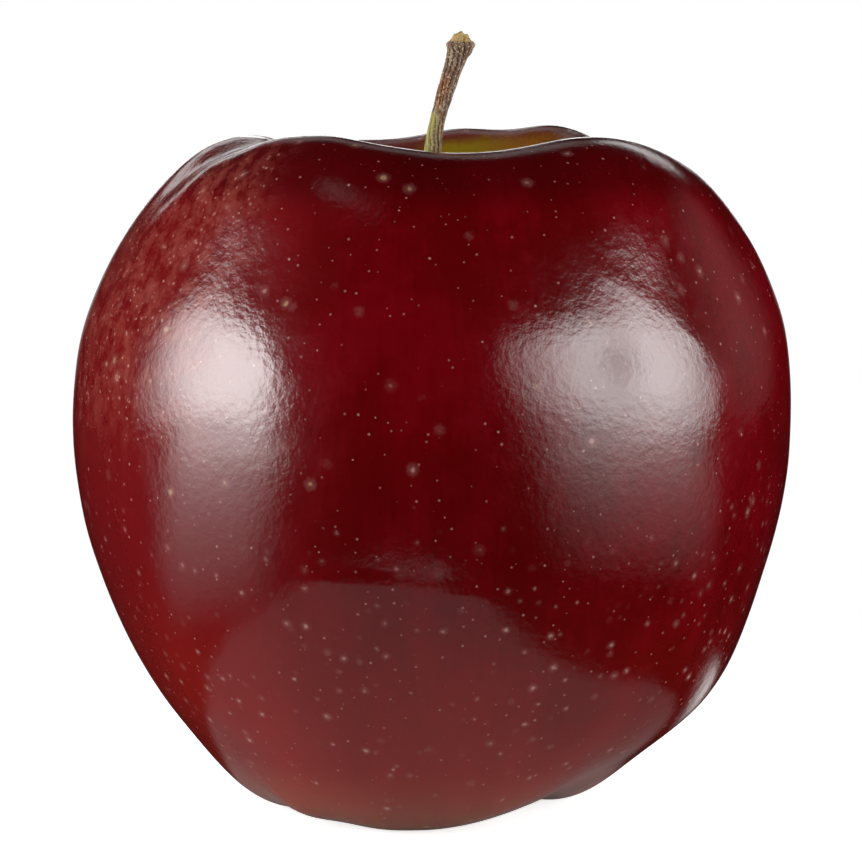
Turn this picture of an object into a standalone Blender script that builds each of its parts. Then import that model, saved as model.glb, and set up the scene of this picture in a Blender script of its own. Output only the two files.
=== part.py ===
"""A red apple: the fruit in one piece, its woody stem, and the dried calyx in the basin underneath.

Metres, +Z up. The apple stands on the flats of its three lowest lobes at z = 0, with its core on the Z axis,
and +X is to the right of someone who looks at its best side from -Y.
"""

import math
from typing import NamedTuple

import bmesh
import bpy
import numpy as np
from mathutils import Matrix, Vector

MM = 0.001
GAP = 0.3 * MM  # between pieces that touch on the real apple


class Swell(NamedTuple):
    """A lobe on the turned outline, or a hollow where its height is negative."""

    turn: float  # about Z, in degrees
    along: float  # share of the way along the outline
    height: float  # out from the skin, in mm
    sharpness: float  # round the apple
    spread: float  # along the outline


# Fruit. Half an outline, from the basin underneath round the foot, flank and shoulder and down into the cavity.
# Each pair is a distance from the core and a height, in mm.
OUTLINE = [
    (3.2, 9.3), (6.4, 6.3), (9.6, 2.9), (13.6, 1.2), (18.4, 2.5), (24.6, 7.4), (30.4, 13.9), (35.1, 22.6),
    (38.5, 32.8), (39.75, 43.5), (38.6, 54.3), (34.4, 63.6), (28.2, 70.6), (21.6, 73.8), (15.4, 72.4),
    (10.0, 66.9), (6.0, 60.9), (3.2, 57.7),
]
STEPS_PER_SPAN = 3
SEGMENTS = 60

SHOULDER_LOBES = [
    Swell(237, 0.77, 3.6, 7, 0.070),
    Swell(277, 0.76, 0.4, 12, 0.070),
    Swell(319, 0.76, 3.6, 7, 0.075),
    Swell(14, 0.75, 1.1, 7, 0.080),
    Swell(52, 0.78, 1.8, 36, 0.060),
    Swell(81, 0.78, 1.6, 36, 0.060),
    Swell(160, 0.77, 1.2, 6, 0.070),
]
FOOT_LOBES = [
    Swell(261, 0.15, 2.0, 7, 0.070),
    Swell(328, 0.14, -1.9, 6, 0.060),
    Swell(343, 0.29, 1.0, 4, 0.060),
    Swell(34, 0.15, 2.08, 8, 0.070),
    Swell(100, 0.15, 1.0, 8, 0.070),
    Swell(165, 0.15, 2.0, 8, 0.070),
]
FLANK_RIBS = [Swell(turn, 0.50, 0.35, 7, 0.16) for turn in (8, 66, 160, 232, 316)]

# The wells in the floors of the cavity and the basin, where the stem and the calyx grow out of the core.
STEM_WELL_RADIUS = 1.55 * MM
STEM_WELL_MOUTH = 56.5 * MM
STEM_WELL_FLOOR = 53.5 * MM
CALYX_WELL_RADIUS = 2.3 * MM
CALYX_WELL_MOUTH = 9.7 * MM
CALYX_WELL_FLOOR = 11.4 * MM

# Stem. Its centre line leans to the right and a little back, and it flares into a knob where it left the twig.
# Each entry is x, y, z and the radius there, in mm.
STEM_LINE = [
    (0.0, 0.0, 53.8, 1.15), (-0.2, 0.0, 60.0, 1.05), (-0.1, 0.1, 67.0, 1.0), (0.2, 0.2, 73.8, 1.0),
    (0.6, 0.3, 76.6, 0.93), (1.0, 0.4, 78.4, 0.88), (1.6, 0.5, 80.3, 1.0), (2.2, 0.6, 82.4, 1.03),
    (2.9, 0.7, 84.3, 1.2), (3.25, 0.8, 85.4, 1.46), (3.4, 0.8, 86.2, 1.35),
]
STEM_STEPS_PER_SPAN = 2
STEM_SIDES = 24
STEM_RIDGES = 7
STEM_RIDGE_HEIGHT = 0.07  # as a share of the radius
STEM_TWIST = 60  # how fast the ridges wind round it, in radians for each metre
KNOB_LUMP = 0.55 * MM  # how far the torn end stands up in two lumps
KNOB_RINGS = [(0.72, 0.35), (0.34, 0.20)]  # share of the end's width, share of the lump's height

# Calyx. Five dried sepals hang from a cup in the well and curl outwards, round a tuft of dead stamens.
CUP_RADIUS = CALYX_WELL_RADIUS - GAP
CUP_TOP = CALYX_WELL_FLOOR - GAP
CUP_BOTTOM = 8.4 * MM
CUP_SIDES = 24
# Each entry along a sepal is a distance from the core, a height and a width, in mm.
SEPAL_LINE = [(1.3, 9.4, 2.0), (2.3, 7.9, 2.5), (2.9, 6.4, 2.2), (3.7, 5.1, 1.4), (4.9, 4.5, 0.6)]
SEPAL_STEPS_PER_SPAN = 2
SEPAL_THICKNESS = 0.7 * MM
SEPAL_HOLLOW = 0.15  # how deep a sepal is hollowed across, as a share of its width
SEPAL_SPREADS = [1.0, 0.85, 1.1, 0.92, 1.05]  # how far each one curls out, against the line above
SEPAL_FIRST_TURN = 20  # in degrees
STAMEN_COUNT = 9
STAMEN_RING = 0.95 * MM
STAMEN_LENGTH = 2.2 * MM
STAMEN_ROOT = 1.0 * MM
STAMEN_RADIUS = 0.32 * MM
STAMEN_TAPER = 0.6

# Name, base colour, roughness.
SKIN = ("skin", (0.150, 0.004, 0.010), 0.25)
BARK = ("bark", (0.120, 0.055, 0.020), 0.80)
DRIED_SEPAL = ("dried_sepal", (0.110, 0.065, 0.035), 0.90)

SHARP_EDGE = math.radians(45)


def clear_scene():
    for obj in list(bpy.data.objects):
        bpy.data.objects.remove(obj, do_unlink=True)


def make_material(name, colour, roughness):
    material = bpy.data.materials.new(name)
    material.use_nodes = True
    shader = material.node_tree.nodes["Principled BSDF"]
    shader.inputs["Base Color"].default_value = (*colour, 1.0)
    shader.inputs["Roughness"].default_value = roughness
    shader.inputs["Metallic"].default_value = 0.0
    return material


def add_object(name, bm, material):
    """Turns a closed bmesh into a smooth-shaded object with its faces outward."""
    bmesh.ops.recalc_face_normals(bm, faces=bm.faces)
    mesh = bpy.data.meshes.new(name)
    bm.to_mesh(mesh)
    bm.free()
    mesh.shade_smooth()
    mesh.set_sharp_from_angle(angle=SHARP_EDGE)
    mesh.materials.append(material)
    obj = bpy.data.objects.new(name, mesh)
    bpy.context.scene.collection.objects.link(obj)
    return obj


def smooth_line(points, steps):
    """The points joined by a curve through each one (Catmull-Rom), with this many steps to a span."""
    knots = np.array(points)
    knots = np.vstack([2 * knots[0] - knots[1], knots, 2 * knots[-1] - knots[-2]])
    line = []
    for a, b, c, d in zip(knots, knots[1:], knots[2:], knots[3:]):
        for t in np.arange(steps) / steps:
            bend = 2 * a - 5 * b + 4 * c - d
            sway = 3 * (b - c) + d - a
            line.append(b + t / 2 * (c - a + t * (bend + t * sway)))
    return np.array([*line, knots[-2]])


def loft(bm, rings):
    """Skins closed rings of equal length, with a flat cap on each end."""
    rows = [[bm.verts.new(point) for point in ring] for ring in rings]
    count = len(rows[0])
    for low, high in zip(rows, rows[1:]):
        for i in range(count):
            bm.faces.new((low[i], low[(i + 1) % count], high[(i + 1) % count], high[i]))
    bm.faces.new(reversed(rows[0]))
    bm.faces.new(rows[-1])


def swell_height(turn, along):
    """How far the skin stands out from the turned outline, in metres."""
    height = 0.0
    for lobe in SHOULDER_LOBES + FOOT_LOBES + FLANK_RIBS:
        around = lobe.sharpness * (math.cos(turn - math.radians(lobe.turn)) - 1)
        height += lobe.height * MM * math.exp(around - ((along - lobe.along) / lobe.spread) ** 2)
    return height


def draw_outline(bm):
    """Draws the half outline with both wells in the XZ plane.

    Each vertex of the skin keeps its share of the way along, and its way out. Those of the wells never swell.
    """
    line = smooth_line(OUTLINE, STEPS_PER_SPAN) * MM
    lengths = np.linalg.norm(np.diff(line, axis=0), axis=1)
    shares = np.concatenate([[0], np.cumsum(lengths) / lengths.sum()])
    slopes = np.gradient(line, axis=0)
    slopes /= np.linalg.norm(slopes, axis=1)[:, None]
    along = bm.verts.layers.float.new("along")
    way_out = bm.verts.layers.float_vector.new("way_out")
    chain = [
        bm.verts.new((0, 0, CALYX_WELL_FLOOR)),
        bm.verts.new((CALYX_WELL_RADIUS, 0, CALYX_WELL_FLOOR)),
        bm.verts.new((CALYX_WELL_RADIUS, 0, CALYX_WELL_MOUTH)),
    ]
    for (distance, height), share, (run, rise) in zip(line, shares, slopes):
        vert = bm.verts.new((distance, 0, height))
        vert[along] = share
        vert[way_out] = (rise, 0, -run)
        chain.append(vert)
    for distance, height in (
        (STEM_WELL_RADIUS, STEM_WELL_MOUTH), (STEM_WELL_RADIUS, STEM_WELL_FLOOR), (0, STEM_WELL_FLOOR)
    ):
        chain.append(bm.verts.new((distance, 0, height)))
    return chain, [bm.edges.new(pair) for pair in zip(chain, chain[1:])]


def make_fruit():
    """Flesh and skin are one solid: the turned outline, swollen into lobes and pressed flat where it stands."""
    bm = bmesh.new()
    chain, edges = draw_outline(bm)
    bmesh.ops.spin(bm, geom=chain + edges, axis=(0, 0, 1), angle=math.tau, steps=SEGMENTS, use_merge=True)
    bmesh.ops.remove_doubles(bm, verts=bm.verts, dist=0.001 * MM)
    along = bm.verts.layers.float["along"]
    way_out = bm.verts.layers.float_vector["way_out"]
    for vert in bm.verts:
        turn = math.atan2(vert.co.y, vert.co.x)
        out, _, up = vert[way_out]
        vert.co += swell_height(turn, vert[along]) * Vector((out * math.cos(turn), out * math.sin(turn), up))
        vert.co.z = max(vert.co.z, 0)
    return add_object("fruit", bm, make_material(*SKIN))


def ring_across(centre, way, radii):
    """A ring of points round a line that runs this way, at these distances, the first one to the right."""
    side = Vector((0, 1, 0)).cross(way).normalized()
    back = way.cross(side).normalized()
    ring = []
    for i, radius in enumerate(radii):
        turn = math.tau * i / len(radii)
        ring.append(centre + radius * (math.cos(turn) * side + math.sin(turn) * back))
    return ring


def make_stem():
    """A leaning, ridged stalk that flares into the torn, lumpy knob where it left the twig."""
    line = smooth_line(STEM_LINE, STEM_STEPS_PER_SPAN) * MM
    ways = np.gradient(line[:, :3], axis=0)
    turns = [math.tau * i / STEM_SIDES for i in range(STEM_SIDES)]
    rings = []
    for (*centre, radius), way in zip(line.tolist(), ways.tolist()):
        twist = STEM_TWIST * centre[2]
        radii = [radius * (1 + STEM_RIDGE_HEIGHT * math.cos(STEM_RIDGES * turn + twist)) for turn in turns]
        rings.append(ring_across(Vector(centre), Vector(way), radii))
    end = Vector(line[-1][:3])
    rim = rings[-1]
    for share, rise in KNOB_RINGS:
        ring = []
        for point, turn in zip(rim, turns):
            lump = KNOB_LUMP * (rise + share * math.cos(2 * turn + 0.5) ** 2)
            ring.append(end + share * (point - end) + Vector((0, 0, lump)))
        rings.append(ring)
    bm = bmesh.new()
    loft(bm, rings)
    return add_object("stem", bm, make_material(*BARK))


def make_sepal(turn, spread):
    """One dried sepal: a pointed strip, a little hollow across, that leaves the cup downwards and curls out."""
    line = smooth_line(SEPAL_LINE, SEPAL_STEPS_PER_SPAN)
    root = SEPAL_LINE[0][0]
    heading = Vector((math.cos(turn), math.sin(turn), 0))
    aside = Vector((-heading.y, heading.x, 0))
    up = Vector((0, 0, 1))
    rings = []
    for (distance, height, width), (run, rise, _) in zip(line.tolist(), np.gradient(line, axis=0).tolist()):
        centre = ((root + spread * (distance - root)) * heading + height * up) * MM
        half = aside * width * MM / 2
        face = (rise * heading - run * up).normalized()
        lift = face * SEPAL_THICKNESS / 2
        rib = centre - face * SEPAL_HOLLOW * width * MM
        rings.append([
            centre - half - lift, rib - lift, centre + half - lift,
            centre + half + lift, rib + lift, centre - half + lift,
        ])
    bm = bmesh.new()
    loft(bm, rings)
    return bm


def make_stamen(turn):
    """One dead stamen: a tapered peg that hangs from inside the cup."""
    bm = bmesh.new()
    middle = CUP_BOTTOM + (STAMEN_ROOT - STAMEN_LENGTH) / 2
    bmesh.ops.create_cone(
        bm,
        cap_ends=True,
        segments=6,
        radius1=STAMEN_TAPER * STAMEN_RADIUS,
        radius2=STAMEN_RADIUS,
        depth=STAMEN_LENGTH + STAMEN_ROOT,
        matrix=Matrix.Translation((STAMEN_RING * math.cos(turn), STAMEN_RING * math.sin(turn), middle)),
    )
    return bm


def make_calyx():
    """The cup, the sepals and the tuft of stamens, joined by one union."""
    material = make_material(*DRIED_SEPAL)
    bm = bmesh.new()
    bmesh.ops.create_cone(
        bm,
        cap_ends=True,
        segments=CUP_SIDES,
        radius1=CUP_RADIUS,
        radius2=CUP_RADIUS,
        depth=CUP_TOP - CUP_BOTTOM,
        matrix=Matrix.Translation((0, 0, (CUP_TOP + CUP_BOTTOM) / 2)),
    )
    calyx = add_object("calyx", bm, material)
    pieces = bpy.data.collections.new("calyx_pieces")
    for i, spread in enumerate(SEPAL_SPREADS):
        turn = math.radians(SEPAL_FIRST_TURN) + math.tau * i / len(SEPAL_SPREADS)
        pieces.objects.link(add_object(f"sepal_{i + 1}", make_sepal(turn, spread), material))
    for i in range(STAMEN_COUNT):
        pieces.objects.link(add_object(f"stamen_{i + 1}", make_stamen(math.tau * i / STAMEN_COUNT), material))
    union = calyx.modifiers.new("join", "BOOLEAN")
    union.operation = "UNION"
    union.operand_type = "COLLECTION"
    union.collection = pieces
    with bpy.context.temp_override(object=calyx):
        bpy.ops.object.modifier_apply(modifier=union.name)
    for piece in list(pieces.objects):
        bpy.data.objects.remove(piece, do_unlink=True)
    bpy.data.collections.remove(pieces)
    return calyx


def main():
    clear_scene()
    make_fruit()
    make_stem()
    make_calyx()


main()
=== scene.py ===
"""A red apple: waxy speckled skin on a lobed fruit, a ridged woody stem, and dried flower parts underneath.

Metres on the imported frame, +Z up. The apple's best side faces -Y, and +X is to the right of someone who looks
at it.
"""

from __future__ import annotations

import logging
import math
from collections.abc import Callable
from dataclasses import dataclass
from enum import Enum
from typing import Any

import bpy
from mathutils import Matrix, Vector, noise


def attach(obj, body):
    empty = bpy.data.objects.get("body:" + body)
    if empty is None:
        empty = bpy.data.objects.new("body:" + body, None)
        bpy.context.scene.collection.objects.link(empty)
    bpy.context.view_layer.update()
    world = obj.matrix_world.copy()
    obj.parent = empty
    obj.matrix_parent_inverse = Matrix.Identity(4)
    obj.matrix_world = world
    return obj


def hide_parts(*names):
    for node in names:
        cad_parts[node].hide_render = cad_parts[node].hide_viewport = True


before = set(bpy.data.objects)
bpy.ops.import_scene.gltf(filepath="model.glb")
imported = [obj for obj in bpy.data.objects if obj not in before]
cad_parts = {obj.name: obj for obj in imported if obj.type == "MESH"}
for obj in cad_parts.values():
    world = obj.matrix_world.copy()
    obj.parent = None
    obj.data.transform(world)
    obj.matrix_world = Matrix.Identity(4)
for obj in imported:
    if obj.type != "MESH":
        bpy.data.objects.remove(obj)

MM = 0.001
WELD = 0.002 * MM
QUAD_ANGLE = math.radians(60)
SHADE_EASE = 0.2
LOG = logging.getLogger("red_apple")

Colour = tuple[float, float, float]
Place = tuple[float, float, float]
Span = tuple[float, float]
Size = tuple[float, float]
Piece = bpy.types.Object

BLACK: Colour = (0.0, 0.0, 0.0)
WHITE: Colour = (1.0, 1.0, 1.0)
NOWHERE: Place = (0.0, 0.0, 0.0)


class Way(Enum):
    """The sums that two amounts can be put through."""

    ADD = "ADD"
    TAKE = "SUBTRACT"
    TIMES = "MULTIPLY"
    SHARE = "DIVIDE"
    POWER = "POWER"
    LEAST = "MINIMUM"
    MOST = "MAXIMUM"


class Amount:
    """What one node gives, with arithmetic that adds the nodes to work it out."""

    def __init__(self, recipe: Recipe, socket: bpy.types.NodeSocket) -> None:
        """Wrap an output socket of the recipe's tree."""
        self.recipe = recipe
        self.socket = socket

    def __add__(self, other: Input) -> Amount:
        """Add."""
        return self.recipe.sum(Way.ADD, self, other)

    def __radd__(self, other: Input) -> Amount:
        """Add, with a plain number first."""
        return self.recipe.sum(Way.ADD, other, self)

    def __sub__(self, other: Input) -> Amount:
        """Take away."""
        return self.recipe.sum(Way.TAKE, self, other)

    def __rsub__(self, other: Input) -> Amount:
        """Take this from a plain number."""
        return self.recipe.sum(Way.TAKE, other, self)

    def __mul__(self, other: Input) -> Amount:
        """Multiply."""
        return self.recipe.sum(Way.TIMES, self, other)

    def __rmul__(self, other: Input) -> Amount:
        """Multiply, with a plain number first."""
        return self.recipe.sum(Way.TIMES, other, self)

    def __truediv__(self, other: Input) -> Amount:
        """Divide."""
        return self.recipe.sum(Way.SHARE, self, other)

    def __rtruediv__(self, other: Input) -> Amount:
        """Divide a plain number by this."""
        return self.recipe.sum(Way.SHARE, other, self)

    def __pow__(self, other: Input) -> Amount:
        """Raise to a power."""
        return self.recipe.sum(Way.POWER, self, other)

    def least(self, other: Input) -> Amount:
        """The smaller of the two."""
        return self.recipe.sum(Way.LEAST, self, other)

    def most(self, other: Input) -> Amount:
        """The larger of the two."""
        return self.recipe.sum(Way.MOST, self, other)

    def rise(self, start: Input, end: Input) -> Amount:
        """A soft step from 0 at start to 1 at end; start may be the larger.

        Args:
            start: Where the step leaves 0.
            end: Where the step reaches 1.

        Returns:
            The step, from 0 to 1.
        """
        settings = {"interpolation_type": "SMOOTHSTEP"}
        inputs = {"Value": self, "From Min": start, "From Max": end}
        return self.recipe.add("ShaderNodeMapRange", settings, inputs)

    def hump(self, middle: float, reach: float) -> Amount:
        """A soft hump that is 1 at the middle and 0 past the reach on both sides."""
        away = self.recipe.add("ShaderNodeMath", {"operation": "ABSOLUTE"}, {0: self - middle})
        return away.rise(reach, 0.0)


Input = Amount | float | Colour


class Recipe:
    """The node tree of one finish."""

    def __init__(self, name: str) -> None:
        """Start a material with its one surface shader.

        Args:
            name: What the material is called.
        """
        self.material = bpy.data.materials.new(name)
        self.material.use_nodes = True
        self.tree = self.material.node_tree
        self.shader = self.tree.nodes["Principled BSDF"]

    def add(
        self,
        kind: str,
        settings: dict[str, Any],
        inputs: dict[str | int, Input],
        output: str | int = 0,
    ) -> Amount:
        """Add one node.

        Args:
            kind: Its type.
            settings: Its properties, set before its sockets.
            inputs: What goes into each socket, a value or a link.
            output: The socket that is read.

        Returns:
            What that socket gives.
        """
        node = self.tree.nodes.new(kind)
        for name, value in settings.items():
            setattr(node, name, value)
        for name, value in inputs.items():
            self.feed(node.inputs[name], value)
        return Amount(self, node.outputs[output])

    def feed(self, socket: bpy.types.NodeSocket, value: Input) -> None:
        """Link an amount to a socket, or set the socket to a plain value.

        Args:
            socket: The input to feed.
            value: An amount, a number or a colour.
        """
        if isinstance(value, Amount):
            self.tree.links.new(value.socket, socket)
        elif socket.type == "RGBA":
            socket.default_value = (*value, 1.0)
        else:
            socket.default_value = value

    def sum(self, way: Way, first: Input, second: Input) -> Amount:
        """Two numbers put through one sum."""
        return self.add("ShaderNodeMath", {"operation": way.value}, {0: first, 1: second})

    def vector(self, operation: str, first: Input, second: Input = NOWHERE) -> Amount:
        """Two vectors put through one sum that gives a vector."""
        return self.add("ShaderNodeVectorMath", {"operation": operation}, {0: first, 1: second})

    def scaled(self, vector: Input, scale: Input) -> Amount:
        """A vector made longer or shorter."""
        return self.add("ShaderNodeVectorMath", {"operation": "SCALE"}, {0: vector, "Scale": scale})

    def measured(self, operation: str, first: Input, second: Input = NOWHERE) -> Amount:
        """Two vectors put through a sum that gives a number, such as their dot product."""
        return self.add("ShaderNodeVectorMath", {"operation": operation}, {0: first, 1: second}, "Value")

    def split(self, vector: Amount) -> tuple[Amount, Amount, Amount]:
        """The three numbers of a vector.

        Args:
            vector: The vector.

        Returns:
            How far it points to the right, back and up.
        """
        x = self.add("ShaderNodeSeparateXYZ", {}, {0: vector})
        _, y, z = x.socket.node.outputs
        return x, Amount(self, y), Amount(self, z)

    def joined(self, x: Input, y: Input, z: Input) -> Amount:
        """Three numbers as one vector."""
        return self.add("ShaderNodeCombineXYZ", {}, {0: x, 1: y, 2: z})

    def blend(self, first: Input, second: Input, share: Input) -> Amount:
        """A colour part of the way from the first to the second."""
        return self.add("ShaderNodeMix", {"data_type": "RGBA"}, {0: share, 6: first, 7: second}, 2)

    def metres(self) -> Amount:
        """Where a point is on the piece, in metres."""
        return self.add("ShaderNodeTexCoord", {}, {}, "Object")

    def place(self) -> Amount:
        """Where a point is on the piece, in millimetres."""
        return self.scaled(self.metres(), 1 / MM)

    def facing(self, heading: Amount, turn: float) -> Amount:
        """How far a level way faces a turn in degrees, from -1 straight away to 1 straight towards it."""
        angle = math.radians(turn)
        return self.measured("DOT_PRODUCT", heading, (math.cos(angle), math.sin(angle), 0.0))

    def clouds(self, at: Input, detail: float = 2.0, roughness: float = 0.5) -> Amount:
        """Soft random patches about one unit across, around 0.5."""
        inputs = {"Vector": at, "Scale": 1.0, "Detail": detail, "Roughness": roughness}
        return self.add("ShaderNodeTexNoise", {}, inputs)

    def grains(self, at: Input, randomness: float = 1.0) -> tuple[Amount, Amount, Amount]:
        """Points strewn about one unit apart.

        Args:
            at: Where on the piece, in units of their spacing.
            randomness: How far they stray from a grid.

        Returns:
            The distance to the nearest point, and two random numbers that belong to it.
        """
        inputs = {"Vector": at, "Scale": 1.0, "Randomness": randomness}
        distance = self.add("ShaderNodeTexVoronoi", {"feature": "F1"}, inputs)
        colour = Amount(self, distance.socket.node.outputs["Color"])
        red = self.add("ShaderNodeSeparateColor", {}, {0: colour})
        return distance, red, Amount(self, red.socket.node.outputs[1])

    def relief(self, height: Amount, depth: float) -> Amount:
        """The surface normal over a height from 0 to 1 that stands this many millimetres tall."""
        inputs = {"Strength": 1.0, "Distance": depth * MM, "Height": height}
        return self.add("ShaderNodeBump", {}, inputs, "Normal")

    def surface(self, colour: Input, roughness: Input, normal: Amount | None = None) -> bpy.types.Material:
        """Join the colour, roughness and relief to the shader.

        Args:
            colour: The base colour.
            roughness: From 0, a mirror, to 1, chalk.
            normal: The relief, if there is any.

        Returns:
            The finished material.
        """
        self.feed(self.shader.inputs["Base Color"], colour)
        self.feed(self.shader.inputs["Roughness"], roughness)
        if normal is not None:
            self.feed(self.shader.inputs["Normal"], normal)
        return self.material


@dataclass(frozen=True)
class Speckles:
    """One kind of small spot on the skin: how far apart they lie and how uneven they are, in millimetres."""

    spacing: float
    unevenness: float

    def strew(self, mix: Recipe, place: Amount, ragged: Amount) -> tuple[Amount, Amount, Amount]:
        """The distance to the middle of the nearest spot, and two random numbers that belong to it."""
        distance, size, shade = mix.grains(mix.scaled(place, 1 / self.spacing))
        return distance * self.spacing + ragged * self.unevenness, size, shade


@dataclass(frozen=True)
class SpeckledSkin:
    """The finish of the fruit: crimson under wax, with pale pores, a brick-red cheek and an olive hollow.

    Lengths are in millimetres and turns in degrees. A span is where a soft step starts and where it is full:
    of a height, of the distance out from the core, or of how far a place faces a turn. A size is how wide a
    mark is at the waist and how long.
    """

    deep: Colour = (0.128, 0.0002, 0.0012)
    ripe: Colour = (0.190, 0.0006, 0.0042)
    top_dark: Colour = (0.060, 0.0004, 0.0015)
    blush: Colour = (0.200, 0.008, 0.010)
    brick: Colour = (0.360, 0.070, 0.052)
    foot: Colour = (0.420, 0.024, 0.015)
    heel_and_bounce_light: Colour = (0.480, 0.110, 0.060)
    russet: Colour = (0.230, 0.030, 0.016)
    olive: Colour = (0.330, 0.215, 0.005)
    tawny: Colour = (0.310, 0.110, 0.010)
    pore: Colour = (0.680, 0.360, 0.310)
    tan_pore: Colour = (0.560, 0.340, 0.160)

    waist: float = 38.0
    bend_height: Span = (20.0, 60.0)
    blotch_size: Size = (2.4, 3.0)
    patch_size: Size = (10.0, 16.0)
    streak_size: Size = (0.8, 7.0)
    ripeness: Span = (0.38, 0.64)
    top_dark_height: Span = (68.5, 72.5)

    cheek_turn: float = 205.0
    cheek_facing: Span = (0.80, 0.97)
    cheek_height: Span = (38.0, 56.0)
    cheek_patches: Span = (0.36, 0.72)
    fleck_patches: Span = (0.42, 0.58)
    blush_facing: Span = (0.55, 0.95)

    foot_height: Span = (34.0, 2.0)
    heel_and_bounce_height: Span = (9.0, 0.0)
    dim_turn: float = -10.0
    dim_facing: Span = (0.1, 0.8)
    dim_height: Span = (8.0, 16.0)

    hollow_out: Span = (22.0, 18.5)
    hollow_height: Span = (48.0, 56.0)
    olive_turn: float = 64.0
    olive_facing: Span = (0.82, 0.96)
    olive_height: Span = (74.3, 72.9)
    olive_slope: float = 0.10
    tint_right: Span = (11.0, 3.0)
    base_out: Span = (24.0, 17.0)
    base_height: Span = (5.0, 1.0)

    grit: float = 0.4
    flecks: Speckles = Speckles(0.8, 0.25)
    dust: Speckles = Speckles(1.25, 0.08)
    pores: Speckles = Speckles(2.2, 0.26)
    pores_height: Span = (44.0, 16.0)
    spots: Speckles = Speckles(4.6, 0.34)
    spots_height: Span = (22.0, 40.0)

    peel_size: float = 0.9
    peel_depth: float = 0.038
    wax_index: float = 1.78
    gloss: float = 0.15
    gloss_play: float = 0.16
    dull_out: Span = (19.0, 16.0)
    dull_height: Span = (50.0, 58.0)
    dulling: float = 0.25

    def make(self) -> bpy.types.Material:
        """Mix the finish.

        Returns:
            The material.
        """
        mix = Recipe("crimson_skin")
        place = mix.place()
        x, y, z = mix.split(place)
        flat = mix.joined(x, y, 0.0)
        out = mix.measured("LENGTH", flat)
        heading = mix.vector("NORMALIZE", flat)
        ragged = mix.clouds(mix.scaled(place, 1 / self.grit), 0.0) - 0.5
        arc = z + (self.waist - out) * (z.rise(*self.bend_height) * 2.0 - 1.0)
        blotch = mix.clouds(self._along(mix, heading, arc, self.blotch_size), 3.0, 0.7)
        cheek = mix.facing(heading, self.cheek_turn).rise(*self.cheek_facing) * z.rise(*self.cheek_height)
        away, size, shade = self.flecks.strew(mix, place, ragged)
        flecks = away.rise(0.14 + size * 0.16, 0.04) * shade.rise(0.2, 0.7)
        flecks = flecks * blotch.rise(*self.fleck_patches) * cheek
        cheek = cheek * blotch.rise(*self.cheek_patches)
        colour = self._ground(mix, heading, z, blotch)
        colour = mix.blend(colour, self.brick, cheek * 0.75)
        colour = self._hollow(mix, colour, heading, blotch, (x, out, z))
        colour = mix.blend(colour, self.pore, flecks * 0.75)
        colour = self._dust(mix, colour, place, ragged, cheek)
        colour = self._pores(mix, colour, place, ragged, (z, cheek))
        colour = self._spots(mix, colour, place, ragged, z)
        peel = mix.clouds(mix.scaled(place, 1 / self.peel_size), 2.0, 0.6)
        dull = out.rise(*self.dull_out) * z.rise(*self.dull_height)
        rough = self.gloss + self.gloss_play * (blotch - 0.5) + dull * self.dulling
        mix.shader.inputs["IOR"].default_value = self.wax_index
        return mix.surface(colour, rough, mix.relief(peel, self.peel_depth))

    def _along(self, mix: Recipe, heading: Amount, height: Amount, size: Size) -> Amount:
        """A place that stretches a pattern, with marks of this size, from the stem to the base."""
        wide, long = size
        return mix.vector("ADD", mix.scaled(heading, self.waist / wide), mix.joined(0.0, 0.0, height / long))

    def _ground(self, mix: Recipe, heading: Amount, z: Amount, blotch: Amount) -> Amount:
        """The red of the skin, with its blotches and streaks, warmer towards the cheek, darker towards the top,
        and paler at the base, where painted bounce light from the floor is mixed into the skin's own colour.

        Args:
            mix: The recipe.
            heading: The way out from the core.
            z: The height.
            blotch: Patches a few millimetres across.

        Returns:
            The colour.
        """
        patch = mix.clouds(self._along(mix, heading, z, self.patch_size), 1.0, 0.6)
        streak = mix.clouds(self._along(mix, heading, z, self.streak_size), 2.0, 0.6)
        mottle = patch * 0.5 + streak * 0.2 + blotch * 0.3
        colour = mix.blend(self.deep, self.ripe, mottle.rise(*self.ripeness))
        facing = mix.facing(heading, self.cheek_turn)
        colour = mix.blend(colour, self.blush, facing.rise(*self.blush_facing) * 0.8)
        foot = z.rise(*self.foot_height) * (0.7 + 0.6 * (patch - 0.5))
        dim = mix.facing(heading, self.dim_turn)
        foot = foot * (1.0 - 0.55 * dim.rise(*self.dim_facing) * z.rise(*self.dim_height))
        colour = mix.blend(colour, self.foot, foot)
        # Darker towards the top.
        colour = mix.blend(colour, self.top_dark, z.rise(*self.top_dark_height) * 0.6)
        # Painted bounce light: paler towards the base, partly the skin's own colour and partly standing in for
        # light thrown up from the floor.
        return mix.blend(colour, self.heel_and_bounce_light, z.rise(*self.heel_and_bounce_height) * 0.8)

    def _hollow(
        self,
        mix: Recipe,
        colour: Amount,
        heading: Amount,
        blotch: Amount,
        place: tuple[Amount, Amount, Amount],
    ) -> Amount:
        """The russet and olive skin in the hollow round the stem, and the tan tint by the base.

        Args:
            mix: The recipe.
            colour: The red so far.
            heading: The way out from the core.
            blotch: Patches a few millimetres across.
            place: How far to the right a point is, how far from the core and how high.

        Returns:
            The colour.
        """
        x, out, z = place
        inside = out.rise(*self.hollow_out) * z.rise(*self.hollow_height)
        colour = mix.blend(colour, self.russet, inside * (0.5 + blotch * 0.5))
        olive = mix.facing(heading, self.olive_turn).rise(*self.olive_facing)
        olive = olive * (z - x * self.olive_slope + 1.5 * (blotch - 0.5)).rise(*self.olive_height) * inside
        tint = (x - 8.0 * (blotch - 0.5)).rise(*self.tint_right)
        colour = mix.blend(colour, mix.blend(self.tawny, self.olive, tint), olive)
        base = out.rise(*self.base_out) * z.rise(*self.base_height)
        return mix.blend(colour, self.olive, base * blotch.rise(0.35, 0.75) * 0.5)

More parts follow.
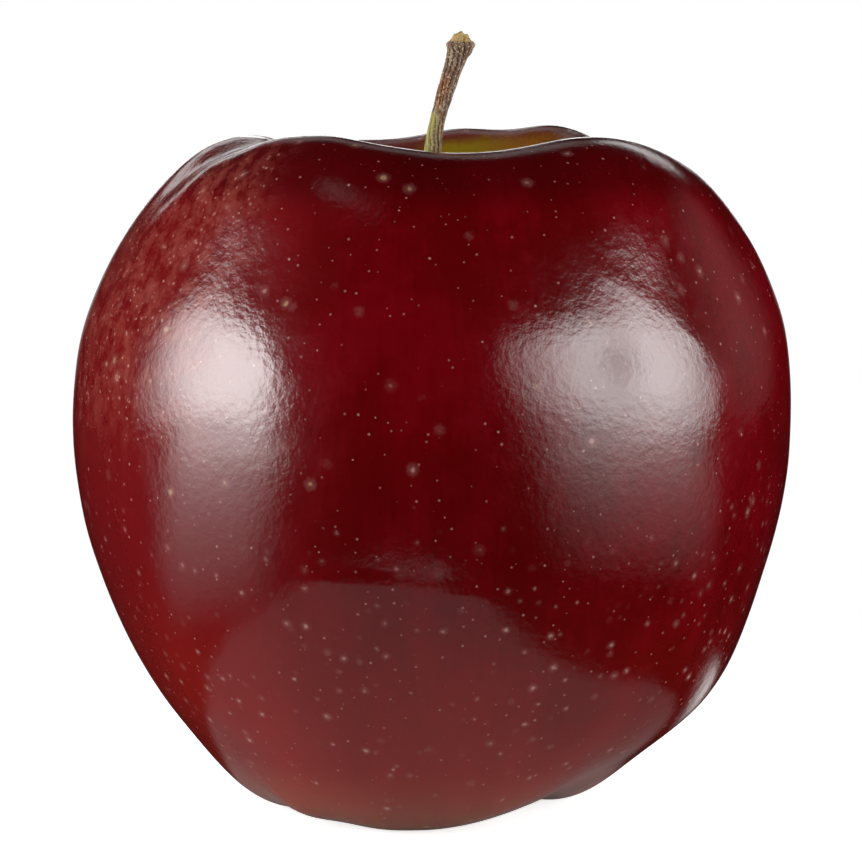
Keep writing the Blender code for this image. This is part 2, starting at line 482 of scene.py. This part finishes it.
    def _dust(self, mix: Recipe, colour: Amount, place: Amount, ragged: Amount, cheek: Amount) -> Amount:
        """A dust of the smallest pores all over.

        Args:
            mix: The recipe.
            colour: The skin so far.
            place: Where a point is.
            ragged: What makes their edges uneven.
            cheek: How much of the paler cheek shows.

        Returns:
            The colour.
        """
        away, size, shade = self.dust.strew(mix, place, ragged)
        dust = away.rise(0.10 + size * 0.14 + cheek * 0.1, 0.02) * (0.35 + shade * 0.65)
        return mix.blend(colour, self.pore, dust * 0.85)

    def _pores(
        self,
        mix: Recipe,
        colour: Amount,
        place: Amount,
        ragged: Amount,
        where: tuple[Amount, Amount],
    ) -> Amount:
        """Larger pores, each with a faint ring, low down and on the cheek.

        Args:
            mix: The recipe.
            colour: The skin so far.
            place: Where a point is.
            ragged: What makes their edges uneven.
            where: The height, and how much of the paler cheek shows.

        Returns:
            The colour.
        """
        z, cheek = where
        low = (z.rise(*self.pores_height) + cheek * 0.7).least(1.0)
        away, size, shade = self.pores.strew(mix, place, ragged)
        pore = away.rise(0.20 + size * 0.20, 0.04) * low * (0.50 + shade * 0.50)
        ring = away.rise(0.40 + size * 0.45, 0.08) * low * (0.5 + shade * 0.5)
        return mix.blend(colour, self.pore, (pore * 0.9 + ring * 0.24).least(1.0))

    def _spots(self, mix: Recipe, colour: Amount, place: Amount, ragged: Amount, z: Amount) -> Amount:
        """A few broad spots high up, some of them tan, some with a dark eye.

        Args:
            mix: The recipe.
            colour: The skin so far.
            place: Where a point is.
            ragged: What makes their edges uneven.
            z: The height.

        Returns:
            The colour.
        """
        away, size, shade = self.spots.strew(mix, place, ragged)
        high = z.rise(*self.spots_height) * size.rise(0.0, 0.2)
        spot = away.rise(0.26 + size * 0.26, 0.12) * high
        eye = away.rise(0.16, 0.05) * shade.rise(0.45, 0.75)
        ring = away.rise(1.0, 0.2) * high
        colour = mix.blend(colour, self.pore, ring * 0.14)
        tan = mix.blend(self.pore, self.tan_pore, shade.rise(0.3, 0.6))
        colour = mix.blend(colour, tan, spot * (0.5 + shade * 0.4))
        return mix.blend(colour, self.russet, eye * high * 0.7)


@dataclass(frozen=True)
class RidgedBark:
    """The finish of the stem: straw low down, brown and plum bark above, pale ridges, painted shade in the
    grooves, flecks and a torn end.

    Lengths are in millimetres. A span is where a soft step starts and where it is full.
    """

    brown: Colour = (0.250, 0.135, 0.060)
    straw: Colour = (0.600, 0.540, 0.150)
    tan: Colour = (0.330, 0.220, 0.095)
    rust: Colour = (0.420, 0.120, 0.020)
    plum: Colour = (0.250, 0.140, 0.095)
    pale: Colour = (0.640, 0.520, 0.330)
    pith: Colour = (0.680, 0.480, 0.190)
    groove: Colour = (0.065, 0.038, 0.018)
    # Darkens the grooves as painted shade, and the bud scar as the stem's own colour.
    fleck: Colour = (0.780, 0.670, 0.500)
    patches_per_mm: Place = (1.4, 1.4, 0.6)
    flecks_per_mm: Place = (4.2, 4.2, 3.0)
    crumbs_per_mm: float = 5.0
    foot_height: Span = (78.4, 77.2)
    rust_height: float = 80.6
    rust_reach: float = 2.6
    torn_height: Span = (85.95, 86.05)
    scar: Place = (0.8, -1.3, 78.3)
    scar_reach: Span = (0.75, 0.45)
    roughness: float = 0.72
    relief_depth: float = 0.14

    def make(self) -> bpy.types.Material:
        """Mix the finish.

        Returns:
            The material.
        """
        mix = Recipe("stem_bark")
        place = mix.place()
        _, _, z = mix.split(place)
        ridge = mix.add("ShaderNodeAttribute", {"attribute_name": "ridge"}, {}, "Fac")
        side = mix.add("ShaderNodeAttribute", {"attribute_name": "side"}, {}, "Fac")
        patches = mix.clouds(mix.vector("MULTIPLY", place, self.patches_per_mm), 2.0)
        crumbs = mix.clouds(mix.scaled(place, self.crumbs_per_mm), 2.0, 0.6)
        colour = mix.blend(self.plum, self.brown, patches.rise(0.42, 0.56) * side.rise(1.0, 0.5))
        rusty = (z + (patches - 0.5) * 4.0).hump(self.rust_height, self.rust_reach) * side.rise(0.75, 0.5)
        colour = mix.blend(colour, self.rust, rusty * 0.9)
        foot = (z + (patches - 0.5) * 3.0).rise(*self.foot_height)
        left = (side + crumbs - 0.5).rise(0.60, 0.25)
        colour = mix.blend(colour, mix.blend(self.tan, self.straw, left), foot)
        pale = mix.blend(self.pale, self.straw, foot * left)
        colour = mix.blend(colour, pale, ridge.rise(0.60, 1.0) * crumbs.rise(0.35, 0.6) * 0.8)
        # Painted shade: darker in the grooves between the ridges.
        colour = mix.blend(colour, self.groove, ridge.rise(0.45, 0.15) * (1.0 - foot * 0.35))
        distance, _, shade = mix.grains(mix.vector("MULTIPLY", place, self.flecks_per_mm))
        flecks = (distance + (crumbs - 0.5) * 1.2).rise(0.45, 0.25) * shade.rise(0.3, 0.5)
        colour = mix.blend(colour, self.fleck, flecks * (0.85 - 0.25 * foot))
        scar = mix.measured("DISTANCE", place, self.scar) + (crumbs - 0.5) * 1.0
        colour = mix.blend(colour, self.groove, scar.rise(*self.scar_reach) * 0.85)
        torn = (z + (crumbs - 0.5) * 0.3).rise(*self.torn_height)
        pith = mix.blend(self.rust, self.pith, crumbs.rise(0.34, 0.46))
        colour = mix.blend(colour, pith, torn * 0.95)
        height = crumbs * 0.6 + flecks * 0.4
        return mix.surface(colour, self.roughness, mix.relief(height, self.relief_depth))


@dataclass(frozen=True)
class DriedSepal:
    """The finish of the calyx: brown, with pale wool."""

    brown: Colour = (0.110, 0.065, 0.035)
    wool: Colour = (0.330, 0.270, 0.180)
    hairs_per_mm: Place = (4.0, 4.0, 2.0)
    roughness: float = 0.9
    relief_depth: float = 0.15

    def make(self) -> bpy.types.Material:
        """Mix the finish.

        Returns:
            The material.
        """
        mix = Recipe("dried_sepal_felt")
        place = mix.place()
        felt = mix.clouds(mix.vector("MULTIPLY", place, self.hairs_per_mm), 4.0, 0.7)
        colour = mix.blend(self.brown, self.wool, felt.rise(0.4, 0.7))
        return mix.surface(colour, self.roughness, mix.relief(felt, self.relief_depth))


def alone(piece: Piece) -> None:
    """Select one piece and nothing else, and make it the active one.

    Args:
        piece: The piece.
    """
    bpy.ops.object.select_all(action="DESELECT")
    piece.select_set(True)
    bpy.context.view_layer.objects.active = piece


def finish_with(piece: Piece, kind: str, settings: dict[str, Any]) -> None:
    """Add a modifier to a piece and apply it.

    Args:
        piece: The piece.
        kind: The modifier's type.
        settings: Its properties.
    """
    alone(piece)
    modifier = piece.modifiers.new(kind.lower(), kind)
    for name, value in settings.items():
        setattr(modifier, name, value)
    bpy.ops.object.modifier_apply(modifier=modifier.name)


def from_node(node: str, name: str) -> Piece:
    """Copy a CAD node into a piece of its own, with its loose triangles merged into quads.

    Args:
        node: The CAD node.
        name: The new piece's name.

    Returns:
        The new piece.
    """
    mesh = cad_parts[node].data.copy()
    mesh.name = name
    piece = bpy.data.objects.new(name, mesh)
    bpy.context.scene.collection.objects.link(piece)
    alone(piece)
    bpy.ops.object.mode_set(mode="EDIT")
    bpy.ops.mesh.select_all(action="SELECT")
    bpy.ops.mesh.remove_doubles(threshold=WELD)
    bpy.ops.mesh.tris_convert_to_quads(face_threshold=QUAD_ANGLE, shape_threshold=QUAD_ANGLE)
    bpy.ops.mesh.customdata_custom_splitnormals_clear()
    bpy.ops.object.mode_set(mode="OBJECT")
    return piece


def smooth(piece: Piece, levels: int) -> None:
    """Divide a piece's faces, the same number of times wherever it is seen."""
    finish_with(piece, "SUBSURF", {"levels": levels, "render_levels": levels})


def swell(piece: Piece, strength: float, weight: Callable[[Vector], float], way: str = "NORMAL") -> None:
    """Push a piece's surface out, more in some places than in others.

    Args:
        piece: The piece.
        strength: How far, in metres, where the weight is 1; below 0 it is pushed in.
        weight: The share of the strength at a place.
        way: The direction, along the surface's normal or an axis.
    """
    group = piece.vertex_groups.new(name="swell")
    for vertex in piece.data.vertices:
        group.add([vertex.index], min(1.0, max(0.0, weight(vertex.co))), "REPLACE")
    settings = {"strength": strength, "mid_level": 0.0, "vertex_group": group.name, "direction": way}
    finish_with(piece, "DISPLACE", settings)
    piece.vertex_groups.clear()


def note(piece: Piece, name: str, value: Callable[[Vector], float]) -> None:
    """Keep the value at each point of a piece under a name, for its finish to read."""
    kept = piece.data.attributes.new(name, "FLOAT", "POINT")
    kept.data.foreach_set("value", [value(vertex.co) for vertex in piece.data.vertices])


def dress(piece: Piece, finish: bpy.types.Material, node: str) -> None:
    """Give a piece its finish and its place in the frame.

    Args:
        piece: The piece.
        finish: Its material.
        node: The CAD node that it stands for.
    """
    piece.data.materials.clear()
    piece.data.materials.append(finish)
    alone(piece)
    bpy.ops.object.shade_smooth()
    piece.shadow_terminator_geometry_offset = SHADE_EASE
    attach(piece, "root")
    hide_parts(node)


@dataclass(frozen=True)
class Swelling:
    """A place on the skin, round or drawn out, that stands out or lies in a little, all in millimetres."""

    start: Place
    end: Place
    reach: float
    height: float
    fade_end: float = 3.0

    def at(self, place: Vector) -> float:
        """How far the skin is moved at a place.

        Args:
            place: The place.

        Returns:
            The height.
        """
        start = Vector(self.start)
        way = Vector(self.end) - start
        share = min(1.0, max(0.0, (place - start).dot(way) / max(way.length_squared, 1e-6)))
        away = (place - start - way * share).length / self.reach
        return self.height * math.exp(-away * away) if away < self.fade_end else 0.0


@dataclass
class Fruit:
    """The apple itself, in one piece, with the gentle unevenness of its skin, in millimetres.

    The swellings are, in turn: the left shoulder's two ridges, its valley, the three parts of its far lobe
    and its near fold; the right flank; the far rim; three at the feet; a scratch; two creases in front; and
    two dents behind. No place is moved further than most.
    """

    finish: SpeckledSkin = SpeckledSkin()
    smoothing: int = 2
    most: float = 1.2
    wave: float = 5.5
    wave_height: float = 0.045
    still_foot: float = 4.0
    swellings: tuple[Swelling, ...] = (
        Swelling((-29.6, -13.0, 67.5), (-24.9, -15.4, 72.0), 3.4, 0.26),
        Swelling((-24.9, -15.4, 72.0), (-19.2, -18.6, 75.0), 3.4, 0.18),
        Swelling((-28.0, -8.6, 71.0), (-14.0, -14.5, 76.3), 2.8, -0.26),
        Swelling((-23.0, -4.0, 73.8), (-11.0, -4.5, 76.2), 5.0, 0.80),
        Swelling((-17.5, -5.0, 75.3), (-9.0, -6.0, 76.4), 4.5, 0.42),
        Swelling((-18.0, 1.0, 74.6), (-14.0, 1.0, 74.6), 4.8, 1.00),
        Swelling((-16.0, -19.5, 75.9), (-12.0, -21.0, 76.4), 4.0, 0.25),
        Swelling((37.0, -2.0, 61.0), (37.0, -2.0, 57.0), 8.0, 0.65),
        Swelling((9.0, 18.0, 75.5), (13.0, 17.0, 75.5), 5.0, 0.4),
        Swelling((7.0, -19.0, 3.5), (12.0, -14.0, 3.5), 5.0, 0.55),
        Swelling((-14.0, -12.3, 2.2), (-14.0, -12.3, 2.2), 4.0, 0.7),
        Swelling((-1.5, -19.8, 1.3), (-1.5, -19.8, 1.3), 5.0, -0.3),
        Swelling((18.0, -30.6, 62.9), (29.5, -25.1, 54.5), 0.9, 0.07),
        Swelling((-12.0, -36.2, 30.3), (-4.0, -37.9, 29.6), 1.1, 0.24),
        Swelling((-2.0, -38.0, 29.1), (5.5, -37.6, 28.4), 1.0, 0.22),
        Swelling((-33.0, 12.0, 45.0), (-30.0, 16.0, 38.0), 4.0, -0.25),
        Swelling((20.0, 31.0, 52.0), (24.0, 29.0, 46.0), 5.0, -0.30),
    )

    def build(self) -> Piece:
        """Build and dress the fruit.

        Returns:
            The piece.
        """
        piece = from_node("fruit", "fruit_skin")
        smooth(piece, self.smoothing)
        swell(piece, self.most * MM, lambda place: self._height(place) / self.most)
        swell(piece, -self.most * MM, lambda place: -self._height(place) / self.most)
        dress(piece, self.finish.make(), "fruit")
        return piece

    def _height(self, place: Vector) -> float:
        """How far the skin stands out at a place, in millimetres.

        Args:
            place: The place, in metres.

        Returns:
            The height.
        """
        where = place / MM
        share = min(1.0, max(0.0, (where.z - self.still_foot) / self.still_foot))
        wave = self.wave_height * noise.noise(where / self.wave) * share
        return wave + sum(swelling.at(where) for swelling in self.swellings)


@dataclass
class Stem:
    """The woody stem: ridged and twisted bark, a scar where a bud was, and a crumbly torn end.

    A crumb is how far it lies to the right of the stem's middle and how far back, its radius and its height,
    the first three in millimetres and the last as a share of the torn height.
    """

    finish: RidgedBark = RidgedBark()
    smoothing: int = 3
    slice_height: float = 0.5 * MM
    ridges: int = 13
    groove_depth: float = 0.15 * MM
    twist: float = 90.0
    twist_from: float = 0.08
    wander: float = 0.45
    wander_scale: float = 600.0
    break_scale: float = 1500.0
    scar: Place = (0.0008, -0.0006, 0.0782)
    scar_reach: float = 0.75 * MM
    scar_height: float = 0.22 * MM
    rim: float = 0.0856
    rim_reach: float = 0.3 * MM
    rim_height: float = 0.20 * MM
    torn_from: float = 0.0859
    torn_height: float = 1.2 * MM
    crumb_scale: float = 1800.0
    pith_radius: float = 1.15
    crumbs: tuple[tuple[float, float, float, float], ...] = (
        (-0.05, -0.05, 0.75, 0.9),
        (0.65, -0.30, 0.50, 0.75),
        (-0.65, -0.30, 0.50, 0.60),
        (0.20, 0.60, 0.50, 0.60),
    )

    def build(self) -> Piece:
        """Build and dress the stem.

        Returns:
            The piece.
        """
        piece = from_node("stem", "stem_wood")
        smooth(piece, self.smoothing)
        core = self._core(piece)
        note(piece, "ridge", lambda place: self._ridge(place, core))
        note(piece, "side", lambda place: self._side(place, core))
        swell(piece, -self.groove_depth, lambda place: 1.0 - self._ridge(place, core))
        swell(piece, self.scar_height, self._scar)
        swell(piece, self.rim_height, self._rim)
        swell(piece, -MM, lambda place: self._shelf(place, core), "Z")
        swell(piece, self.torn_height, lambda place: self._torn(place, core), "Z")
        dress(piece, self.finish.make(), "stem")
        return piece

    def _core(self, piece: Piece) -> dict[int, Vector]:
        """The middle of the stem at each slice of its height.

        Args:
            piece: The stem.

        Returns:
            The middles, by height.
        """
        slices: dict[int, list[Vector]] = {}
        for vertex in piece.data.vertices:
            slices.setdefault(round(vertex.co.z / self.slice_height), []).append(vertex.co)
        return {level: sum(places, Vector()) / len(places) for level, places in slices.items()}

    def _out(self, place: Vector, core: dict[int, Vector]) -> Vector:
        """The way from the middle of the stem to a place on it."""
        level = round(min(place.z, self.torn_from) / self.slice_height)
        return place - core[min(max(core), max(min(core), level))]

    def _grain(self, place: Vector, scale: float) -> float:
        """Noise drawn out to three times its width along the stem, from -1 to 1."""
        return noise.noise(Vector((place.x * scale, place.y * scale, place.z * (scale / 3.0))))

    def _ridge(self, place: Vector, core: dict[int, Vector]) -> float:
        """How much a place is on a ridge, from 0 in a groove to 1.

        Args:
            place: The place.
            core: The middles of the stem.

        Returns:
            The share.
        """
        out = self._out(place, core)
        turn = math.atan2(out.y, out.x) + self.twist * (place.z - self.twist_from)
        turn += self.wander * self._grain(place, self.wander_scale)
        wave = 0.5 + 0.5 * math.cos(self.ridges * turn)
        return wave**0.7 * (0.80 + 0.7 * self._grain(place, self.break_scale))

    def _side(self, place: Vector, core: dict[int, Vector]) -> float:
        """How far a place is to the right of the stem's middle, from 0 to 1."""
        out = self._out(place, core)
        return 0.5 + 0.5 * out.x / max(out.length, 0.1 * MM)

    def _scar(self, place: Vector) -> float:
        """How much a place is on the bud scar."""
        away = (place - Vector(self.scar)).length / self.scar_reach
        return math.exp(-away * away)

    def _rim(self, place: Vector) -> float:
        """How much a place is on the rim of the bark below the torn end."""
        return math.exp(-(((place.z - self.rim) / self.rim_reach) ** 2))

    def _shelf(self, place: Vector, core: dict[int, Vector]) -> float:
        """How far a place on the torn end, outside the pith, is lowered to the rim of the bark.

        Args:
            place: The place.
            core: The middles of the stem.

        Returns:
            The depth in millimetres.
        """
        over = (place.z - self.torn_from) / MM
        out = self._out(place, core).length / MM
        return over * min(1.0, (out / self.pith_radius) ** 2) if over > 0.0 else 0.0

    def _torn(self, place: Vector, core: dict[int, Vector]) -> float:
        """How far a place on the torn end stands up: lumps of pith inside the rim of the bark.

        Args:
            place: The place.
            core: The middles of the stem.

        Returns:
            The share.
        """
        if place.z < self.torn_from:
            return 0.0
        out = self._out(place, core) / MM
        lumps = max(
            height * math.exp(-(((out.x - x) ** 2 + (out.y - y) ** 2) / radius**2))
            for x, y, radius, height in self.crumbs
        )
        return lumps * (0.8 + 0.4 * noise.noise(place * self.crumb_scale))


@dataclass
class Calyx:
    """The dried sepals and stamens in the basin."""

    finish: DriedSepal = DriedSepal()
    smoothing: int = 1

    def build(self) -> Piece:
        """Build and dress the calyx.

        Returns:
            The piece.
        """
        piece = from_node("calyx", "calyx_sepals")
        smooth(piece, self.smoothing)
        dress(piece, self.finish.make(), "calyx")
        return piece


@dataclass(frozen=True)
class Softbox:
    """A soft light that faces the apple, full in the middle and fading towards each side.

    The turn and the lift say where it hangs, in degrees, and lengths are in metres. Across and upright are
    where it is full, as shares of its width and height from its middle, and lean is how far its bands slope.
    A cut fades a corner away: how far the cut leans across and up, and how far out it lies. A hole is the
    share that a ragged patch round the hole's place is dimmed by.
    """

    name: str
    turn: float
    lift: float
    distance: float
    width: float
    height: float
    strength: float
    across: Span = (-0.3, 0.3)
    upright: Span = (-0.3, 0.3)
    cuts: tuple[Place, ...] = ()
    cut_fade: Span = (0.04, -0.05)
    lean: float = 0.0
    hole: float = 0.0
    hole_place: Place = (-0.045, 0.055, 0.0)
    hole_fade: Span = (0.17, 0.02)
    ragged_per_metre: float = 16.0
    aim: Place = (0.0, 0.0, 0.04)

    def build(self) -> Piece:
        """Hang the light.

        Returns:
            The panel.
        """
        turn, lift = math.radians(self.turn), math.radians(self.lift)
        way = Vector((math.cos(turn) * math.cos(lift), math.sin(turn) * math.cos(lift), math.sin(lift)))
        bpy.ops.object.select_all(action="DESELECT")
        bpy.ops.mesh.primitive_plane_add(size=1.0, location=Vector(self.aim) + way * self.distance)
        panel = bpy.context.active_object
        panel.name = self.name
        panel.rotation_euler = way.to_track_quat("Z", "Y").to_euler()
        panel.scale = (self.width, self.height, 1.0)
        panel.visible_camera = False
        panel.data.materials.append(self._glow())
        return panel

    def _glow(self) -> bpy.types.Material:
        """A white glow that fades from where the light is full to each side of the panel.

        Returns:
            The material.
        """
        mix = Recipe(self.name + "_glow")
        x, y, _ = mix.split(mix.metres())
        wide, tall = x * self.width, y * self.height
        upright = y + wide * (self.lean / self.height)
        strength = x.rise(-0.5, self.across[0]) * x.rise(0.5, self.across[1]) * self.strength
        strength = strength * upright.rise(-0.5, self.upright[0]) * upright.rise(0.5, self.upright[1])
        inner, outer = self.cut_fade
        for across, up, edge in self.cuts:
            strength = strength * (wide * across + tall * up).rise(edge + inner, edge + outer)
        if self.hole:
            spot = mix.joined(wide, tall, 0.0)
            ragged = mix.clouds(mix.scaled(spot, self.ragged_per_metre), 1.0) - 0.5
            lamp = mix.measured("DISTANCE", spot, self.hole_place) + ragged * 0.12
            strength = strength * (1.0 - self.hole * lamp.rise(*self.hole_fade)) * (1.0 + 0.35 * ragged)
        glow = mix.add("ShaderNodeEmission", {}, {"Color": strength, "Strength": 1.0})
        output = mix.tree.nodes["Material Output"]
        mix.tree.links.new(glow.socket, output.inputs["Surface"])
        return mix.material


@dataclass(frozen=True)
class Spill:
    """The glow that a panel throws on the floor beneath it.

    The turn is the way to the panel, in degrees. The edge is how far off that way the glow ends, as a
    cosine. Near is how near the apple it comes and reach is how much further out it is full, both in metres.
    """

    turn: float
    edge: float
    near: float
    strength: float
    reach: float = 0.7

    def glow(self, mix: Recipe, heading: Amount, far: Amount) -> Amount:
        """Work the glow out.

        Args:
            mix: The floor's recipe.
            heading: The way out from the apple.
            far: The distance from the apple.

        Returns:
            The glow.
        """
        facing = mix.facing(heading, self.turn)
        share = ((far - self.near) / self.reach).most(0.0).least(1.0) ** 0.75
        return facing.rise(self.edge, 1.0) * share * self.strength


@dataclass
class Studio:
    """The floor, the lights and the camera, in metres and degrees.

    The skin mirrors a darker table round the apple, with a straight edge and a bright spot on the right.
    The camera sees none of that, only the pale floor.
    """

    floor_size: float = 7.0
    floor_colour: Colour = (0.86, 0.86, 0.86)
    # Where the painted shadow round the apple's foot deepens, in metres from the middle.
    shade_far: Span = (0.050, 0.012)
    near_far: Span = (0.14, 0.07)
    table_colour: Colour = (0.37, 0.35, 0.35)
    dark_colour: Colour = (0.012, 0.012, 0.012)
    table_size: Place = (0.050, 0.054, 1.0)
    table_middle: Place = (0.001, -0.036, 0.0)
    table_fade: Span = (1.05, 0.95)
    table_ragged: float = 0.24
    ragged_per_metre: float = 60.0
    table_glow: float = 0.055
    side_way: Place = (0.873, -0.487, 0.0)
    side_fade: Span = (0.049, 0.043)
    spot: Place = (0.047, 0.025, 0.0)
    spot_fade: Span = (0.017, 0.003)
    spot_strength: float = 1.2
    spills: tuple[Spill, ...] = (
        Spill(203.0, 0.885, 0.06, 4.7),
        Spill(-26.0, 0.800, 0.08, 2.6),
        Spill(90.0, 0.96, 0.20, 0.8),
    )
    corner: Place = (0.58, 0.81, 0.30)
    far_corner: Place = (-0.58, 0.81, 0.33)
    backdrop_grey: float = 0.004
    lens: float = 281.0
    sensor: float = 36.0
    clip: Span = (0.01, 20.0)
    camera_distance: float = 0.750
    camera_lift: float = 6.0
    target: Place = (0.0, 0.0, 0.0426)

    def build(self) -> None:
        """Set the studio up."""
        self._floor()
        self._sky()
        self._camera()
        for light in self._lights():
            light.build()

    def _lights(self) -> tuple[Softbox, ...]:
        """The panels: two large ones in front, and smaller ones behind, beside and above.

        Returns:
            The panels.
        """
        left_cuts, right_cuts = (self.corner, self.far_corner), (self.corner,)
        left_full, right_full = ((0.13, 0.26), (-0.07, 0.33)), ((-0.02, 0.09), (-0.02, 0.21))
        edge, narrow, middling, broad = (-0.02, 0.02), (-0.05, 0.05), (-0.1, 0.1), (-0.2, 0.2)
        lamp = {"hole": 0.48, "lean": 0.14}
        gap = {"hole": 0.8, "hole_place": (0.07, 0.05, 0.0)}
        return (
            Softbox("left_light", 193.0, 11.5, 0.75, 1.01, 0.57, 8.1, *left_full, left_cuts),
            Softbox("right_light", -24.5, 12.5, 0.75, 1.40, 0.66, 6.1, *right_full, right_cuts, **lamp),
            Softbox("back_left", 106.0, 17.5, 0.9, 0.52, 0.14, 1.2, (-0.35, 0.35)),
            Softbox("back_right", 71.0, 25.5, 0.9, 0.46, 0.26, 1.4, broad, broad),
            Softbox("right_card", 30.0, 10.0, 0.9, 0.95, 0.75, 0.17, edge, edge),
            Softbox("backdrop", 90.0, 3.0, 1.2, 0.44, 0.26, 2.4),
            Softbox("high_light", 95.0, 33.0, 0.9, 0.50, 0.40, 0.28, middling, middling),
            Softbox("ceiling_card", 231.0, 64.0, 0.9, 0.40, 0.34, 0.38, narrow, narrow, **gap),
        )

    def _floor(self) -> None:
        """A plain pale floor, which gives back less of the light than it shows, with a painted shadow round the
        apple's foot in the glow that the camera sees.
        """
        bpy.ops.object.select_all(action="DESELECT")
        bpy.ops.mesh.primitive_plane_add(size=self.floor_size)
        floor = bpy.context.active_object
        floor.name = "floor"
        mix = Recipe("pale_floor")
        seen = mix.add("ShaderNodeLightPath", {}, {}, "Is Camera Ray")
        place = mix.metres()
        far = mix.measured("LENGTH", place)
        table = self._table(mix, place)
        glow = table * self.table_glow
        near = far.rise(*self.near_far)
        # Painted shadow: the glow that the camera sees dims close round the apple's foot.
        camera_glow_with_painted_shadow = 1.0 - near * (0.02 + 0.18 * far.rise(*self.shade_far))
        mirrored = mix.blend(self.dark_colour, self.table_colour, table)
        colour = mix.blend(mirrored, mix.blend(BLACK, self.floor_colour, near), seen)
        floor.data.materials.append(mix.surface(colour, 1.0))
        heading = mix.vector("NORMALIZE", place)
        spill = mix.measured("DISTANCE", place, self.spot).rise(*self.spot_fade) * self.spot_strength
        for panel in self.spills:
            spill = spill + panel.glow(mix, heading, far)
        mix.shader.inputs["Specular IOR Level"].default_value = 0.0
        mix.shader.inputs["Emission Strength"].default_value = 1.0
        mix.feed(mix.shader.inputs["Emission Color"], seen * camera_glow_with_painted_shadow + (1.0 - seen) * (spill + glow))

    def _table(self, mix: Recipe, place: Amount) -> Amount:
        """How much of the darker table round the apple is at a place on the floor.

        Args:
            mix: The floor's recipe.
            place: The place, in metres.

        Returns:
            The share, from 0 to 1.
        """
        away = mix.vector("DIVIDE", mix.vector("SUBTRACT", place, self.table_middle), self.table_size)
        ragged = mix.clouds(mix.scaled(place, self.ragged_per_metre), 1.0) - 0.5
        away = mix.measured("LENGTH", away) + self.table_ragged * ragged
        side = mix.measured("DOT_PRODUCT", place, self.side_way)
        return away.rise(*self.table_fade) * side.rise(*self.side_fade)

    def _sky(self) -> None:
        """White behind the apple, and next to no light from anywhere but the panels."""
        world = bpy.data.worlds.new("studio")
        bpy.context.scene.world = world
        world.use_nodes = True
        tree = world.node_tree
        back = tree.nodes["Background"]
        seen = tree.nodes.new("ShaderNodeLightPath")
        grey = tree.nodes.new("ShaderNodeMapRange")
        grey.inputs["To Min"].default_value = self.backdrop_grey
        tree.links.new(seen.outputs["Is Camera Ray"], grey.inputs["Value"])
        back.inputs["Color"].default_value = (*WHITE, 1.0)
        tree.links.new(grey.outputs[0], back.inputs["Strength"])

    def _camera(self) -> None:
        """A long lens from the front, a little above the apple."""
        lift = math.radians(self.camera_lift)
        way = Vector((0.0, -math.cos(lift), math.sin(lift)))
        bpy.ops.object.camera_add(location=Vector(self.target) + way * self.camera_distance)
        camera = bpy.context.active_object
        camera.name = "camera"
        camera.rotation_euler = way.to_track_quat("Z", "Y").to_euler()
        camera.data.lens = self.lens
        camera.data.sensor_width = self.sensor
        camera.data.clip_start, camera.data.clip_end = self.clip
        scene = bpy.context.scene
        scene.camera = camera
        scene.view_settings.view_transform = "Standard"
        scene.view_settings.look = "None"


def main() -> None:
    """Build the apple and its studio, and report each piece."""
    logging.basicConfig(level=logging.INFO, format="%(name)s: %(message)s")
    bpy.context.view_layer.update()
    for maker in (Fruit(), Stem(), Calyx()):
        piece = maker.build()
        piece.data.calc_loop_triangles()
        LOG.info("%s: %d triangles", piece.name, len(piece.data.loop_triangles))
    Studio().build()


if __name__ == "__main__":
    main()
